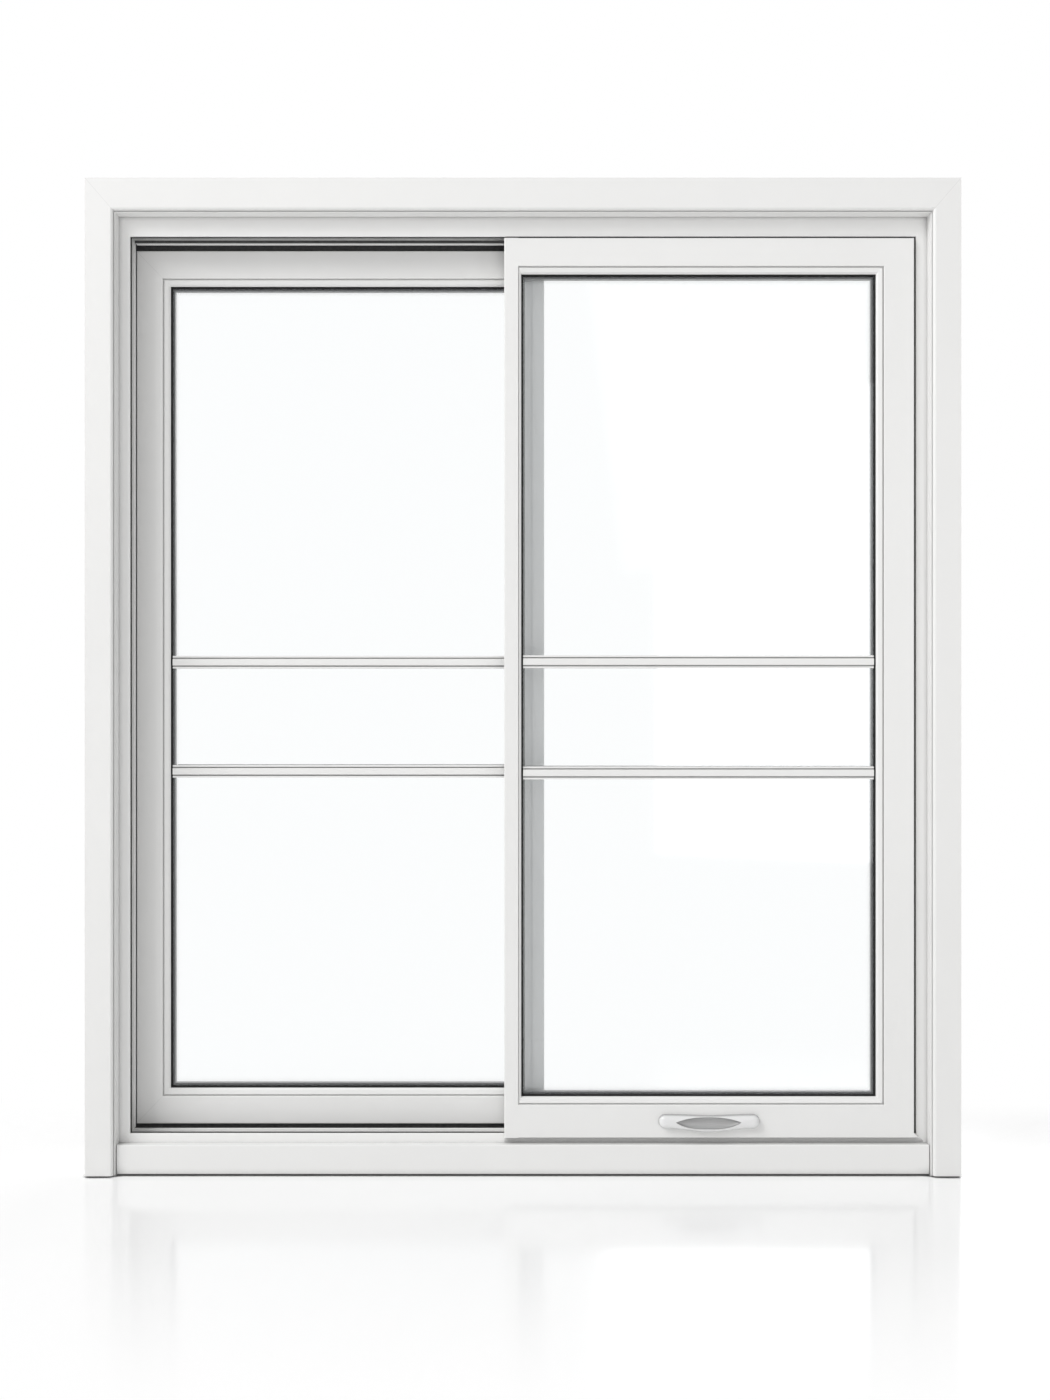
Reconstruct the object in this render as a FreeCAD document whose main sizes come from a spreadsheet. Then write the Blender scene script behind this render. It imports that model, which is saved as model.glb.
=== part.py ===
import FreeCAD, Part
import os
import re
import Sketcher

# Horizontal sliding window with two glazed sashes, in millimetres.
# X runs to the right seen from the front, Y runs from the front to the back, Z is up.
# The origin is the middle of the footprint, on the floor that the window stands on.

# Driving dimensions, each with what it measures.
SIZES = {
    "overall_width": 1052,  # outside of one casing leg to outside of the other
    "overall_height": 1200,  # floor to the top of the casing
    "casing_depth": 22,
    "casing_leg_width": 36.5,
    "casing_head_width": 42,
    "casing_round": 4,  # rounded inner edge of the casing
    "casing_draft": 1.4,  # slope of the inner side, from front to back
    "casing_quirk": 1.5,  # groove and nosing beside that edge, together
    "quirk_groove": 0.8,
    "quirk_depth": 3,
    "casing_undercut": 4,  # recess behind the inner side, where it meets the frame
    "undercut_height": 3.6,
    "foot_gap": 1.6,  # slot that keeps the front edges off the floor
    "foot_depth": 8,
    "casing_overhang": 2,  # how far the casing stands past the frame behind it
    "board_height": 37,
    "board_setback": 8.6,  # front of the sill board behind the front of the casing
    "board_round": 1.6,
    "frame_rise": 47.5,  # height of the frame section, outside to the edge of its lips
    "head_rise": 63,  # the same at the head, deeper so that a sash can be lifted out
    "frame_wall": 30,  # outside of the frame to the floor of its channels
    "front_lip": 3,
    "rear_lip": 4,
    "channel_width": 25,
    "rib_width": 15,  # the two fins between the channels and the slot between them
    "front_fin": 4.4,
    "fin_bulb": 3.6,  # height of the thicker edge of the front fin
    "fin_relief": 3.2,  # how far the fin is set back under that edge
    "rear_fin": 3,
    "rear_fin_drop": 7.5,
    "head_fin_reach": 2.8,  # the front fin of the head, past the edge of the lips
    "sill_fin_drop": 1.4,  # the front fin of the sill, below the edge of the lips
    "lip_seal_width": 5,
    "lip_seal_show": 1.2,  # black seal past the edge of the front lip
    "lip_seal_thickness": 1,
    "lip_round": 1,
    "fixing_radius": 3.75,
    "fixing_low": 150,  # lower fixing hole above the floor
    "fixing_top": 148,  # upper fixing hole below the top of the frame
    "sash_depth": 32,
    "rail_face": 43.2,  # visible width of the rails, bead and groove included
    "front_stile_face": 45.6,
    "rear_stile_face": 41.4,
    "sash_tongue": 12,  # part of the sash that runs behind the lips
    "sash_step": 10,  # front of the sash to the front of its tongue
    "sash_round": 1.2,
    "glass_flange": 7,  # thickness of the flange behind the glass
    "front_meeting_width": 20.6,
    "rear_meeting_width": 22.6,
    "cope_inset": 4,  # how far inside the meeting stile a rail is drawn from
    "bead_width": 9,
    "bead_thickness": 7,  # front of the sash to the back of the bead
    "bead_groove": 1.4,
    "bead_groove_depth": 3,
    "bead_setback": 0.5,
    "bead_nose": 2.2,  # steep part next to the glass
    "narrow_bead": 3.6,  # bead on the front meeting stile
    "front_face_setback": 16,  # front of the front sash behind the front of the casing
    "sash_gap": 8,  # back of the front sash to the front of the rear sash
    "front_side_gap": 3.5,  # lip edge to sash edge
    "front_top_gap": 3.1,
    "front_bottom_gap": 2.1,
    "skirt_drop": 6.1,  # skirt of the front sash below its own lower edge
    "skirt_thickness": 5,
    "rear_side_gap": 0.4,
    "rear_top_gap": 9,
    "rear_bottom_gap": 3.4,
    "front_reach": 22.7,  # meeting stile past the middle of the window
    "rear_reach": 26.2,
    "hook_plate": 1.5,
    "hook_clearance": 2,
    "hook_overlap": 2,
    "hook_middle": 12.5,  # middle of the overlap, from the middle of the window
    "hook_inset": 2,
    "pane_thickness": 4,
    "pane_cavity": 8,
    "pane_edge_gap": 2,
    "gasket_thickness": 1,
    "gasket_show": 2.2,
    "back_gasket_show": 4.6,
    "gasket_lip": 1.8,
    "spacer_show": 2,  # spacer past the gasket
    "bar_base_width": 15.6,
    "bar_base_thickness": 2.6,
    "bar_groove_width": 1.4,
    "bar_groove_depth": 2.1,
    "bar_crown_width": 8.4,
    "bar_thickness": 4,
    "bar_bevel": 0.8,
    "upper_bar_height": 619.4,  # middle of the bar above the floor
    "lower_bar_height": 484.6,
    "seal_thickness": 0.7,
    "head_seal_height": 3.1,
    "head_seal_thickness": 1.1,
    "head_seal_drop": 1.6,
    "track_base_width": 12,
    "track_base_thickness": 1,
    "track_rib": 2.4,
    "roller_radius": 8,
    "roller_width": 7,
    "roller_groove_width": 3,
    "roller_groove_depth": 1,
    "roller_axle_radius": 2,
    "roller_drop": 4,  # wheel below the underside of the tongue, groove not counted
    "roller_inset": 90,
    "roller_slot_width": 9,
    "roller_slot_length": 20,
    "roller_slot_height": 14,
    "pull_length": 123,
    "pull_height": 16.6,
    "pull_belly": 3.6,  # how far the middle of the pull hangs below its ends
    "lip_length": 92,
    "pull_depth": 8,
    "pull_round": 2.6,
    "pull_rise": 15.6,  # middle of the pull above the lower edge of the sash
    "dish_length": 79,
    "dish_depth": 6.4,
}

# Places worked out from the driving dimensions.
PLACES = {
    "window_depth": "casing_depth + frame_depth",
    "frame_depth": "front_lip + rear_lip + rib_width + 2 * channel_width",
    "frame_half": "overall_width / 2 - casing_overhang",
    "frame_height": "overall_height - casing_overhang",
    "opening_half": "frame_half - frame_rise",
    "opening_top": "frame_height - head_rise",
    "head_wall": "frame_wall * head_rise / frame_rise",
    "front_y": "0 - window_depth / 2",
    "frame_y": "front_y + casing_depth",
    "rail_width": "rail_face + sash_tongue",
    "rail_floor": "rail_face - bead_width",
    "pane_y": "bead_thickness + gasket_thickness",
    "cavity_y": "pane_y + pane_thickness",
    "back_pane_y": "cavity_y + pane_cavity",
    "glass_back_y": "back_pane_y + pane_thickness",
    "flange_y": "sash_depth - glass_flange",
    "front_sash_y": "front_y + front_face_setback",
    "rear_sash_y": "front_sash_y + sash_depth + sash_gap",
    "front_left": "0 - front_reach",
    "front_right": "opening_half - front_side_gap",
    "front_bottom": "frame_rise + front_bottom_gap",
    "front_top": "opening_top - front_top_gap",
    "rear_left": "0 - opening_half + rear_side_gap",
    "rear_right": "rear_reach",
    "rear_bottom": "frame_rise + rear_bottom_gap",
    "rear_top": "opening_top - rear_top_gap",
    "track_line": "sash_step + (sash_depth - sash_step) / 2",
}

doc = FreeCAD.newDocument("sliding_window")
sheet = doc.addObject("Spreadsheet::Sheet", "Sizes")
for row, (name, value) in enumerate(SIZES.items(), start=1):
    sheet.set("A%d" % row, name)
    sheet.set("B%d" % row, str(value))
    sheet.setAlias("B%d" % row, name)
doc.recompute()

nodes = []


def formula(text):
    """Turn words such as frame_rise into references to the sheet."""
    def swap(found):
        word = found.group(0)
        if word in SIZES:
            return "Sizes." + word
        if word in PLACES:
            return "(" + formula(PLACES[word]) + ")"
        return word
    return re.sub(r"[a-z][a-z_]*", swap, str(text))


def number(text):
    """The present value of a formula."""
    return float(sheet.evalExpression(formula(text)))


def bind(thing, name, text):
    """Set a property from a formula and keep it tied to the sheet."""
    thing.setExpression(name, formula(text))


def place(thing, x, y, z, angle=0):
    """Put a piece at x, y, z, turned about the Y axis."""
    turn = FreeCAD.Rotation(FreeCAD.Vector(0, 1, 0), angle)
    thing.Placement = FreeCAD.Placement(FreeCAD.Vector(0, 0, 0), turn)
    for axis, text in zip("xyz", (x, y, z)):
        bind(thing, "Placement.Base." + axis, text)


def new_sketch(body, plane_name):
    """An empty sketch on one of the body's own origin planes."""
    sketch = body.newObject("Sketcher::SketchObject", body.Name + "_sketch")
    plane = [f for f in body.Origin.OriginFeatures if f.Role == plane_name][0]
    sketch.AttachmentSupport = [(plane, "")]
    sketch.MapMode = "FlatFace"
    return sketch


def pin_point(sketch, edge, end, x, y):
    """Tie one point of a sketch to two formulas."""
    for kind, text in (("DistanceX", x), ("DistanceY", y)):
        rule = Sketcher.Constraint(kind, -1, 1, edge, end, number(text))
        bind(sketch, "Constraints[%d]" % sketch.addConstraint(rule), text)


def draw_polygon(sketch, corners):
    """A closed polygon whose corners are pairs of formulas."""
    points = [FreeCAD.Vector(number(x), number(y), 0) for x, y in corners]
    edges = []
    for i, point in enumerate(points):
        line = Part.LineSegment(point, points[(i + 1) % len(points)])
        edges.append(sketch.addGeometry(line))
    for i, edge in enumerate(edges):
        follower = edges[(i + 1) % len(edges)]
        sketch.addConstraint(Sketcher.Constraint("Coincident", edge, 2, follower, 1))
    for edge, (x, y) in zip(edges, corners):
        pin_point(sketch, edge, 1, x, y)


def draw_circle(sketch, x, y, radius):
    """A circle tied to formulas for its centre and its radius."""
    centre = FreeCAD.Vector(number(x), number(y), 0)
    normal = FreeCAD.Vector(0, 0, 1)
    edge = sketch.addGeometry(Part.Circle(centre, normal, number(radius)))
    pin_point(sketch, edge, 3, x, y)
    rule = Sketcher.Constraint("Radius", edge, number(radius))
    bind(sketch, "Constraints[%d]" % sketch.addConstraint(rule), radius)


def rectangle(x_low, y_low, x_high, y_high):
    """Corners of a rectangle, as formulas."""
    return [(x_low, y_low), (x_high, y_low), (x_high, y_high), (x_low, y_high)]


def pad(body, sketch, length, backwards=False):
    """Raise a sketch into a solid."""
    feature = body.newObject("PartDesign::Pad", body.Name + "_pad")
    feature.Profile = sketch
    feature.Reversed = backwards
    bind(feature, "Length", length)
    doc.recompute()
    return feature


def pocket(body, plane_name, polygons, depth=None):
    """Cut outlines right through a body, or to a depth on the plane's far side."""
    sketch = new_sketch(body, plane_name)
    for corners in polygons:
        draw_polygon(sketch, corners)
    feature = body.newObject("PartDesign::Pocket", body.Name + "_pocket")
    feature.Profile = sketch
    if depth is None:
        feature.Type = "ThroughAll"
        feature.SideType = "Symmetric"
    else:
        feature.Reversed = True
        bind(feature, "Length", depth)
    doc.recompute()
    return feature


def round_edges(body, spots):
    """Round the long edges that pass through the given places in the section."""
    for x, y, radius in spots:
        solid = body.Tip
        names = []
        for i, edge in enumerate(solid.Shape.Edges, start=1):
            ends = [vertex.Point for vertex in edge.Vertexes]
            if len(ends) == 2 and all(
                abs(p.x - number(x)) < 0.01 and abs(p.y - number(y)) < 0.01 for p in ends
            ):
                names.append("Edge%d" % i)
        fillet = body.newObject("PartDesign::Fillet", body.Name + "_round")
        fillet.Base = (solid, names)
        bind(fillet, "Radius", radius)
        doc.recompute()


def mitre_wedge(width, neighbour, length=None):
    """Triangle cut off one end, from the outer corner to the inner corner."""
    far = "(%s) * 1.1" % width
    rise = "(%s) * 1.1" % neighbour
    if length is None:
        return [("0", "0"), (far, "0"), (far, rise)]
    return [("0", length), (far, length), (far, "(%s) - %s" % (length, rise))]


def extrusion(label, section, length, at, angle=0, rounds=(), width="0", start=None, finish=None):
    """A straight length of a section, mitred where a neighbour's width is given.

    The section lies in X and Y with X measured from the outer edge inwards,
    and the length runs up. The angle then turns the piece about Y: 0 for a
    left upright, 180 for a right one, 90 for a top and 270 for a bottom.
    """
    body = doc.addObject("PartDesign::Body", label)
    sketch = new_sketch(body, "XY_Plane")
    draw_polygon(sketch, section)
    pad(body, sketch, length)
    round_edges(body, rounds)
    wedges = []
    if start is not None:
        wedges.append(mitre_wedge(width, start))
    if finish is not None:
        wedges.append(mitre_wedge(width, finish, length))
    if wedges:
        pocket(body, "XZ_Plane", wedges)
    place(body, at[0], at[1], at[2], angle)
    return body


def keep(thing, label):
    """Name a finished piece and put it on the list that is written out."""
    thing.Label = label
    nodes.append(thing)
    return thing


def stretched(section, factor):
    """A section with its distances from the outer edge multiplied."""
    return [("(%s) * %s" % (x, factor), y) for x, y in section]


def stretched_rounds(rounds, factor):
    """The rounded edges of a stretched section."""
    return [("(%s) * %s" % (x, factor), y, radius) for x, y, radius in rounds]


# Casing: mitred head and legs that run down to the floor, with a board between them
CASING_FACE = "casing_leg_width - casing_quirk - casing_draft"
CASING_NOSING = CASING_FACE + " + quirk_groove"
CASING_SECTION = [
    ("0", "0"),
    (CASING_FACE, "0"),
    (CASING_FACE, "casing_round + quirk_depth"),
    (CASING_NOSING, "casing_round + quirk_depth"),
    (CASING_NOSING, "casing_round + 0.4"),
    ("casing_leg_width - casing_draft", "casing_round + 0.8"),
    ("casing_leg_width", "casing_depth - undercut_height"),
    ("casing_leg_width - casing_undercut", "casing_depth - undercut_height"),
    ("casing_leg_width - casing_undercut", "casing_depth"),
    ("0", "casing_depth"),
]
CASING_ROUNDS = [(CASING_FACE, "0", "casing_round")]
CASING_STRETCH = "casing_head_width / casing_leg_width"


def build_casing():
    leg = extrusion(
        "casing_leg_left", CASING_SECTION, "overall_height",
        ("0 - overall_width / 2", "front_y", "0"), 0, CASING_ROUNDS,
        "casing_leg_width", finish="casing_head_width",
    )
    pocket(leg, "YZ_Plane", [rectangle("0 - foot_depth", "0 - foot_gap", "foot_depth", "foot_gap")])
    keep(leg, "casing_leg_left")
    leg = extrusion(
        "casing_leg_right", CASING_SECTION, "overall_height",
        ("overall_width / 2", "front_y", "overall_height"), 180, CASING_ROUNDS,
        "casing_leg_width", start="casing_head_width",
    )
    pocket(leg, "YZ_Plane", [rectangle(
        "0 - foot_depth", "overall_height - foot_gap", "foot_depth", "overall_height + foot_gap"
    )])
    keep(leg, "casing_leg_right")
    head = extrusion(
        "casing_head", stretched(CASING_SECTION, CASING_STRETCH), "overall_width",
        ("0 - overall_width / 2", "front_y", "overall_height"), 90,
        stretched_rounds(CASING_ROUNDS, CASING_STRETCH),
        "casing_head_width", "casing_leg_width", "casing_leg_width",
    )
    keep(head, "casing_head")
    board_depth = "casing_depth - board_setback"
    board_section = [
        ("foot_gap", "0"),
        ("board_height", "0"),
        ("board_height", board_depth),
        ("0", board_depth),
        ("0", "foot_depth"),
        ("foot_gap", "foot_depth"),
    ]
    board = extrusion(
        "sill_board", board_section,
        "overall_width - 2 * casing_leg_width",
        ("overall_width / 2 - casing_leg_width", "front_y + board_setback", "0"), 270,
        [("board_height", "0", "board_round"), ("foot_gap", "0", "board_round / 2")],
    )
    keep(board, "sill_board")


# Frame: one section with two channels, mitred at the corners
FRONT_CHANNEL_END = "front_lip + channel_width"
REAR_CHANNEL_START = "front_lip + channel_width + rib_width"
REAR_CHANNEL_END = "front_lip + rib_width + 2 * channel_width"


def frame_section(fin_edge):
    """Section of a frame member, with the edge of its front fin as a formula."""
    return [
        ("0", "0"),
        ("frame_rise", "0"),
        ("frame_rise", "front_lip"),
        ("frame_wall", "front_lip"),
        ("frame_wall", FRONT_CHANNEL_END + " + fin_relief"),
        (fin_edge + " - fin_bulb", FRONT_CHANNEL_END + " + fin_relief"),
        (fin_edge + " - fin_bulb", FRONT_CHANNEL_END),
        (fin_edge, FRONT_CHANNEL_END),
        (fin_edge, FRONT_CHANNEL_END + " + front_fin"),
        ("frame_wall", FRONT_CHANNEL_END + " + front_fin"),
        ("frame_wall", REAR_CHANNEL_START + " - rear_fin"),
        ("frame_rise - rear_fin_drop", REAR_CHANNEL_START + " - rear_fin"),
        ("frame_rise - rear_fin_drop", REAR_CHANNEL_START),
        ("frame_wall", REAR_CHANNEL_START),
        ("frame_wall", REAR_CHANNEL_END),
        ("frame_rise", REAR_CHANNEL_END),
        ("frame_rise", "frame_depth"),
        ("0", "frame_depth"),
    ]


def frame_rounds(fin_edge):
    """The rounded edges of that section."""
    return [
        ("frame_rise", "0", "lip_round"),
        (fin_edge, FRONT_CHANNEL_END, "lip_round"),
        ("frame_rise", "frame_depth", "lip_round"),
    ]


FRAME_SECTION = frame_section("frame_rise")
FRAME_ROUNDS = frame_rounds("frame_rise")
HEAD_STRETCH = "head_rise / frame_rise"
HEAD_FIN_EDGE = "frame_rise + head_fin_reach * frame_rise / head_rise"
SILL_FIN_EDGE = "frame_rise - sill_fin_drop"


def drill_fixings(jamb, y, low, high):
    """Two fixing holes through a jamb, at two places along its length."""
    sketch = new_sketch(jamb, "YZ_Plane")
    for z in (low, high):
        draw_circle(sketch, y, z, "fixing_radius")
    holes = jamb.newObject("PartDesign::Pocket", jamb.Name + "_holes")
    holes.Profile = sketch
    holes.Type = "ThroughAll"
    holes.SideType = "Symmetric"
    doc.recompute()


def build_frame():
    jamb = extrusion(
        "frame_jamb_left", FRAME_SECTION, "frame_height",
        ("0 - frame_half", "frame_y", "0"), 0, FRAME_ROUNDS,
        "frame_rise", "frame_rise", "head_rise",
    )
    front_middle = "front_lip + channel_width / 2"
    drill_fixings(jamb, front_middle, "fixing_low", "frame_height - fixing_top")
    keep(jamb, "frame_jamb_left")
    jamb = extrusion(
        "frame_jamb_right", FRAME_SECTION, "frame_height",
        ("frame_half", "frame_y", "frame_height"), 180, FRAME_ROUNDS,
        "frame_rise", "head_rise", "frame_rise",
    )
    rear_middle = "front_lip + rib_width + channel_width * 3 / 2"
    drill_fixings(jamb, rear_middle, "fixing_top", "frame_height - fixing_low")
    keep(jamb, "frame_jamb_right")
    head = extrusion(
        "frame_head", stretched(frame_section(HEAD_FIN_EDGE), HEAD_STRETCH), "2 * frame_half",
        ("0 - frame_half", "frame_y", "frame_height"), 90,
        stretched_rounds(frame_rounds(HEAD_FIN_EDGE), HEAD_STRETCH),
        "head_rise", "frame_rise", "frame_rise",
    )
    keep(head, "frame_head")
    sill = extrusion(
        "frame_sill", frame_section(SILL_FIN_EDGE), "2 * frame_half",
        ("frame_half", "frame_y", "0"), 270, frame_rounds(SILL_FIN_EDGE),
        "frame_rise", "frame_rise", "frame_rise",
    )
    keep(sill, "frame_sill")


def build_track(side):
    """A low rail on the floor of one channel, which the rollers run on."""
    line = side + "_sash_y + track_line"
    top = "%s_bottom - sash_tongue - roller_drop + roller_groove_depth - frame_wall" % side
    half_rib = "track_rib / 2"
    half_base = "track_base_width / 2"
    section = [
        ("0", "0 - " + half_base),
        ("track_base_thickness", "0 - " + half_base),
        ("track_base_thickness", "0 - " + half_rib),
        (top, "0 - " + half_rib),
        (top, half_rib),
        ("track_base_thickness", half_rib),
        ("track_base_thickness", half_base),
        ("0", half_base),
    ]
    reach = "frame_half - frame_wall"
    track = extrusion(side + "_track", section, "2 * (%s)" % reach, (reach, line, "frame_wall"), 270)
    keep(track, side + "_track")


def build_head_seal():
    """A pile strip on the front of the rib in the head channel."""
    body = doc.addObject("PartDesign::Body", "head_pile_strip")
    sketch = new_sketch(body, "XZ_Plane")
    low = "opening_top - head_fin_reach + head_seal_drop"
    high = low + " + head_seal_height"
    draw_polygon(sketch, rectangle("0 - opening_half", low, "opening_half", high))
    pad(body, sketch, "head_seal_thickness")
    place(body, "0", "frame_y + " + FRONT_CHANNEL_END, "0")
    keep(body, "head_pile_strip")


def sash_section(face, skirted=False):
    """Section and rounded edges of a sash member, from the outer edge of its tongue inwards."""
    floor, full = "sash_tongue + %s - bead_width" % face, "sash_tongue + " + face
    section = [
        (floor, "0"),
        (floor, "flange_y"),
        (full, "flange_y"),
        (full, "sash_depth"),
        ("0", "sash_depth"),
        ("0", "sash_step"),
        ("sash_tongue", "sash_step"),
    ]
    if skirted:
        edge = "sash_tongue - skirt_drop"
        section += [("sash_tongue", "skirt_thickness"), (edge, "skirt_thickness"), (edge, "0")]
    else:
        edge = "sash_tongue"
        section.append((edge, "0"))
    return section, [(edge, "0", "sash_round"), (floor, "0", "sash_round")]


# Meeting stiles: narrow stiles whose hooked plates lock into each other
FRONT_MEETING_FLOOR = "front_meeting_width - narrow_bead"
FRONT_HOOK_END = "front_reach + hook_middle + hook_overlap / 2"
FRONT_PLATE_BACK = "sash_depth + sash_gap - hook_clearance"
FRONT_MEETING_SECTION = [
    ("0", "0"),
    (FRONT_MEETING_FLOOR, "0"),
    (FRONT_MEETING_FLOOR, "flange_y"),
    ("front_meeting_width", "flange_y"),
    ("front_meeting_width", FRONT_PLATE_BACK + " - hook_plate"),
    (FRONT_HOOK_END, FRONT_PLATE_BACK + " - hook_plate"),
    (FRONT_HOOK_END, FRONT_PLATE_BACK),
    ("front_meeting_width - hook_inset", FRONT_PLATE_BACK),
    ("front_meeting_width - hook_inset", "sash_depth"),
    ("0", "sash_depth"),
]
REAR_MEETING_FLOOR = "rear_meeting_width - bead_width"
REAR_HOOK_END = "rear_reach - hook_middle + hook_overlap / 2"
REAR_PLATE_FRONT = "hook_clearance - sash_gap"
REAR_MEETING_SECTION = [
    ("0", "0"),
    ("hook_inset", "0"),
    ("hook_inset", REAR_PLATE_FRONT),
    (REAR_HOOK_END, REAR_PLATE_FRONT),
    (REAR_HOOK_END, REAR_PLATE_FRONT + " + hook_plate"),
    ("2 * hook_inset", REAR_PLATE_FRONT + " + hook_plate"),
    ("2 * hook_inset", "0"),
    (REAR_MEETING_FLOOR, "0"),
    (REAR_MEETING_FLOOR, "flange_y"),
    ("rear_meeting_width", "flange_y"),
    ("rear_meeting_width", "sash_depth"),
    ("0", "sash_depth"),
]


def build_meeting_stile(side):
    """A stile as tall as the sash, cut back at its ends so that only the tongue runs on."""
    bottom, top = side + "_bottom", side + "_top"
    height = "%s - %s + 2 * sash_tongue" % (top, bottom)
    beyond = "sash_gap + sash_depth"
    notches = [
        rectangle("0 - sash_gap", "(%s) - sash_tongue" % height, "sash_step", height),
        rectangle("sash_depth", "(%s) - sash_tongue" % height, beyond, height),
        rectangle("sash_depth", "0", beyond, "sash_tongue"),
    ]
    if side == "front":
        notches.append([
            ("0 - sash_gap", "0"),
            ("sash_step", "0"),
            ("sash_step", "sash_tongue"),
            ("skirt_thickness", "sash_tongue"),
            ("skirt_thickness", "sash_tongue - skirt_drop"),
            ("0 - sash_gap", "sash_tongue - skirt_drop"),
        ])
        section, corner, angle = FRONT_MEETING_SECTION, ("0", "0", "sash_round"), 0
        at = (side + "_left", side + "_sash_y", bottom + " - sash_tongue")
    else:
        notches.append(rectangle("0 - sash_gap", "0", "sash_step", "sash_tongue"))
        section, corner, angle = REAR_MEETING_SECTION, ("0", "0", "sash_round"), 180
        at = (side + "_right", side + "_sash_y", top + " + sash_tongue")
    stile = extrusion(side + "_sash_meeting_stile", section, height, at, angle, [corner])
    pocket(stile, "YZ_Plane", notches)
    return keep(stile, side + "_sash_meeting_stile")


def cope(side, name, rail, stile):
    """Shape the end of a rail to the meeting stile that it runs into."""
    cut = doc.addObject("Part::Cut", "%s_sash_%s" % (side, name))
    cut.Base = rail
    cut.Tool = stile
    doc.recompute()
    keep(cut, "%s_sash_%s" % (side, name))


def roller_places(side):
    """Distances of the two rollers from the end that the bottom rail starts at."""
    run = "%s_right - %s_left + sash_tongue - cope_inset" % (side, side)
    return "roller_inset", "%s - roller_inset" % run


def build_sash_frame(side):
    """Four members round the glass: mitred at the outer stile, coped at the meeting stile."""
    left, right = side + "_left", side + "_right"
    bottom, top, y = side + "_bottom", side + "_top", side + "_sash_y"
    height = "%s - %s + 2 * sash_tongue" % (top, bottom)
    run = "%s - %s + sash_tongue - cope_inset" % (right, left)
    front = side == "front"
    face = side + "_stile_face"
    full, rail_width = "sash_tongue + " + face, "rail_width"
    meeting = build_meeting_stile(side)

    section, rounds = sash_section(face)
    if front:
        at, angle = (right + " + sash_tongue", y, top + " + sash_tongue"), 180
    else:
        at, angle = (left + " - sash_tongue", y, bottom + " - sash_tongue"), 0
    stile = extrusion(
        side + "_sash_outer_stile", section, height, at, angle, rounds, full, rail_width, rail_width
    )
    keep(stile, side + "_sash_outer_stile")

    section, rounds = sash_section("rail_face")
    top_start = left + (" + cope_inset" if front else " - sash_tongue")
    rail = extrusion(
        side + "_top_rail_bar", section, run, (top_start, y, top + " + sash_tongue"), 90, rounds,
        rail_width, None if front else full, full if front else None,
    )
    cope(side, "top_rail", rail, meeting)

    section, rounds = sash_section("rail_face", front)
    bottom_start = right + (" + sash_tongue" if front else " - cope_inset")
    rail = extrusion(
        side + "_bottom_rail_bar", section, run, (bottom_start, y, bottom + " - sash_tongue"), 270,
        rounds, rail_width, full if front else None, None if front else full,
    )
    if front:
        # The skirt stops square at the corner, so only the part behind it is mitred.
        pocket(rail, "YZ_Plane", [rectangle("0 - sash_gap", "0", "sash_step", "sash_tongue - skirt_drop")])
    slots = []
    for z in roller_places(side):
        slots.append(rectangle(
            "track_line - roller_slot_width / 2", "(%s) - roller_slot_length / 2" % z,
            "track_line + roller_slot_width / 2", "(%s) + roller_slot_length / 2" % z,
        ))
    pocket(rail, "YZ_Plane", slots, "roller_slot_height")
    cope(side, "bottom_rail", rail, meeting)


def compound(label, pieces):
    """Several like solids kept as one piece."""
    group = doc.addObject("Part::Compound", label)
    group.Links = pieces
    doc.recompute()
    keep(group, label)


def build_rollers(side):
    """Two grooved wheels with short axles, seated on the track and in the rail."""
    axle, wheel = "roller_slot_width / 2", "roller_width / 2"
    groove, tread = "roller_groove_width / 2", "roller_radius - roller_groove_depth"
    half = [
        (axle, "roller_axle_radius"),
        (wheel, "roller_axle_radius"),
        (wheel, "roller_radius"),
        (groove, "roller_radius"),
        (groove, tread),
    ]
    outline = [(axle, "0")] + half
    outline += [("0 - (%s)" % x, z) for x, z in reversed(half)]
    outline.append(("0 - (%s)" % axle, "0"))
    start = "front_right + sash_tongue" if side == "front" else "rear_right - cope_inset"
    wheels = []
    for i, z in enumerate(roller_places(side), start=1):
        body = doc.addObject("PartDesign::Body", "%s_roller_%d" % (side, i))
        sketch = new_sketch(body, "YZ_Plane")
        draw_polygon(sketch, outline)
        turned = body.newObject("PartDesign::Revolution", body.Name + "_turned")
        turned.Profile = sketch
        turned.ReferenceAxis = (sketch, ["H_Axis"])
        turned.Angle = 360
        height = "%s_bottom - sash_tongue - roller_drop + roller_radius" % side
        place(body, "%s - (%s)" % (start, z), side + "_sash_y + track_line", height)
        wheels.append(body)
    compound(side + "_sash_rollers", wheels)


# Glazing bead: a small groove beside the sash, then a face that falls away to the glass
BEAD_SECTION = [
    ("0", "bead_groove_depth"),
    ("bead_groove", "bead_groove_depth"),
    ("bead_groove + bead_setback", "bead_setback"),
    ("bead_width - bead_nose", "3 * bead_setback"),
    ("bead_width", "bead_thickness / 2"),
    ("bead_width", "bead_thickness"),
    ("0", "bead_thickness"),
]


def glazing_edges(side):
    """Left, right, bottom and top of the rebate that the bead and glass lie in."""
    bottom = side + "_bottom + rail_floor"
    top = side + "_top - rail_floor"
    stile_floor = "(%s_stile_face - bead_width)" % side
    if side == "front":
        return "front_left + " + FRONT_MEETING_FLOOR, "front_right - " + stile_floor, bottom, top
    return "rear_left + " + stile_floor, "rear_right - (%s)" % REAR_MEETING_FLOOR, bottom, top


def daylight_edges(side, margin="0"):
    """Left, right, bottom and top of the opening inside the beads, drawn in by a margin."""
    left, right, bottom, top = glazing_edges(side)
    near = "narrow_bead" if side == "front" else "bead_width"
    return (
        "%s + %s + (%s)" % (left, near, margin), "%s - bead_width - (%s)" % (right, margin),
        "%s + bead_width + (%s)" % (bottom, margin), "%s - bead_width - (%s)" % (top, margin),
    )


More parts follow.
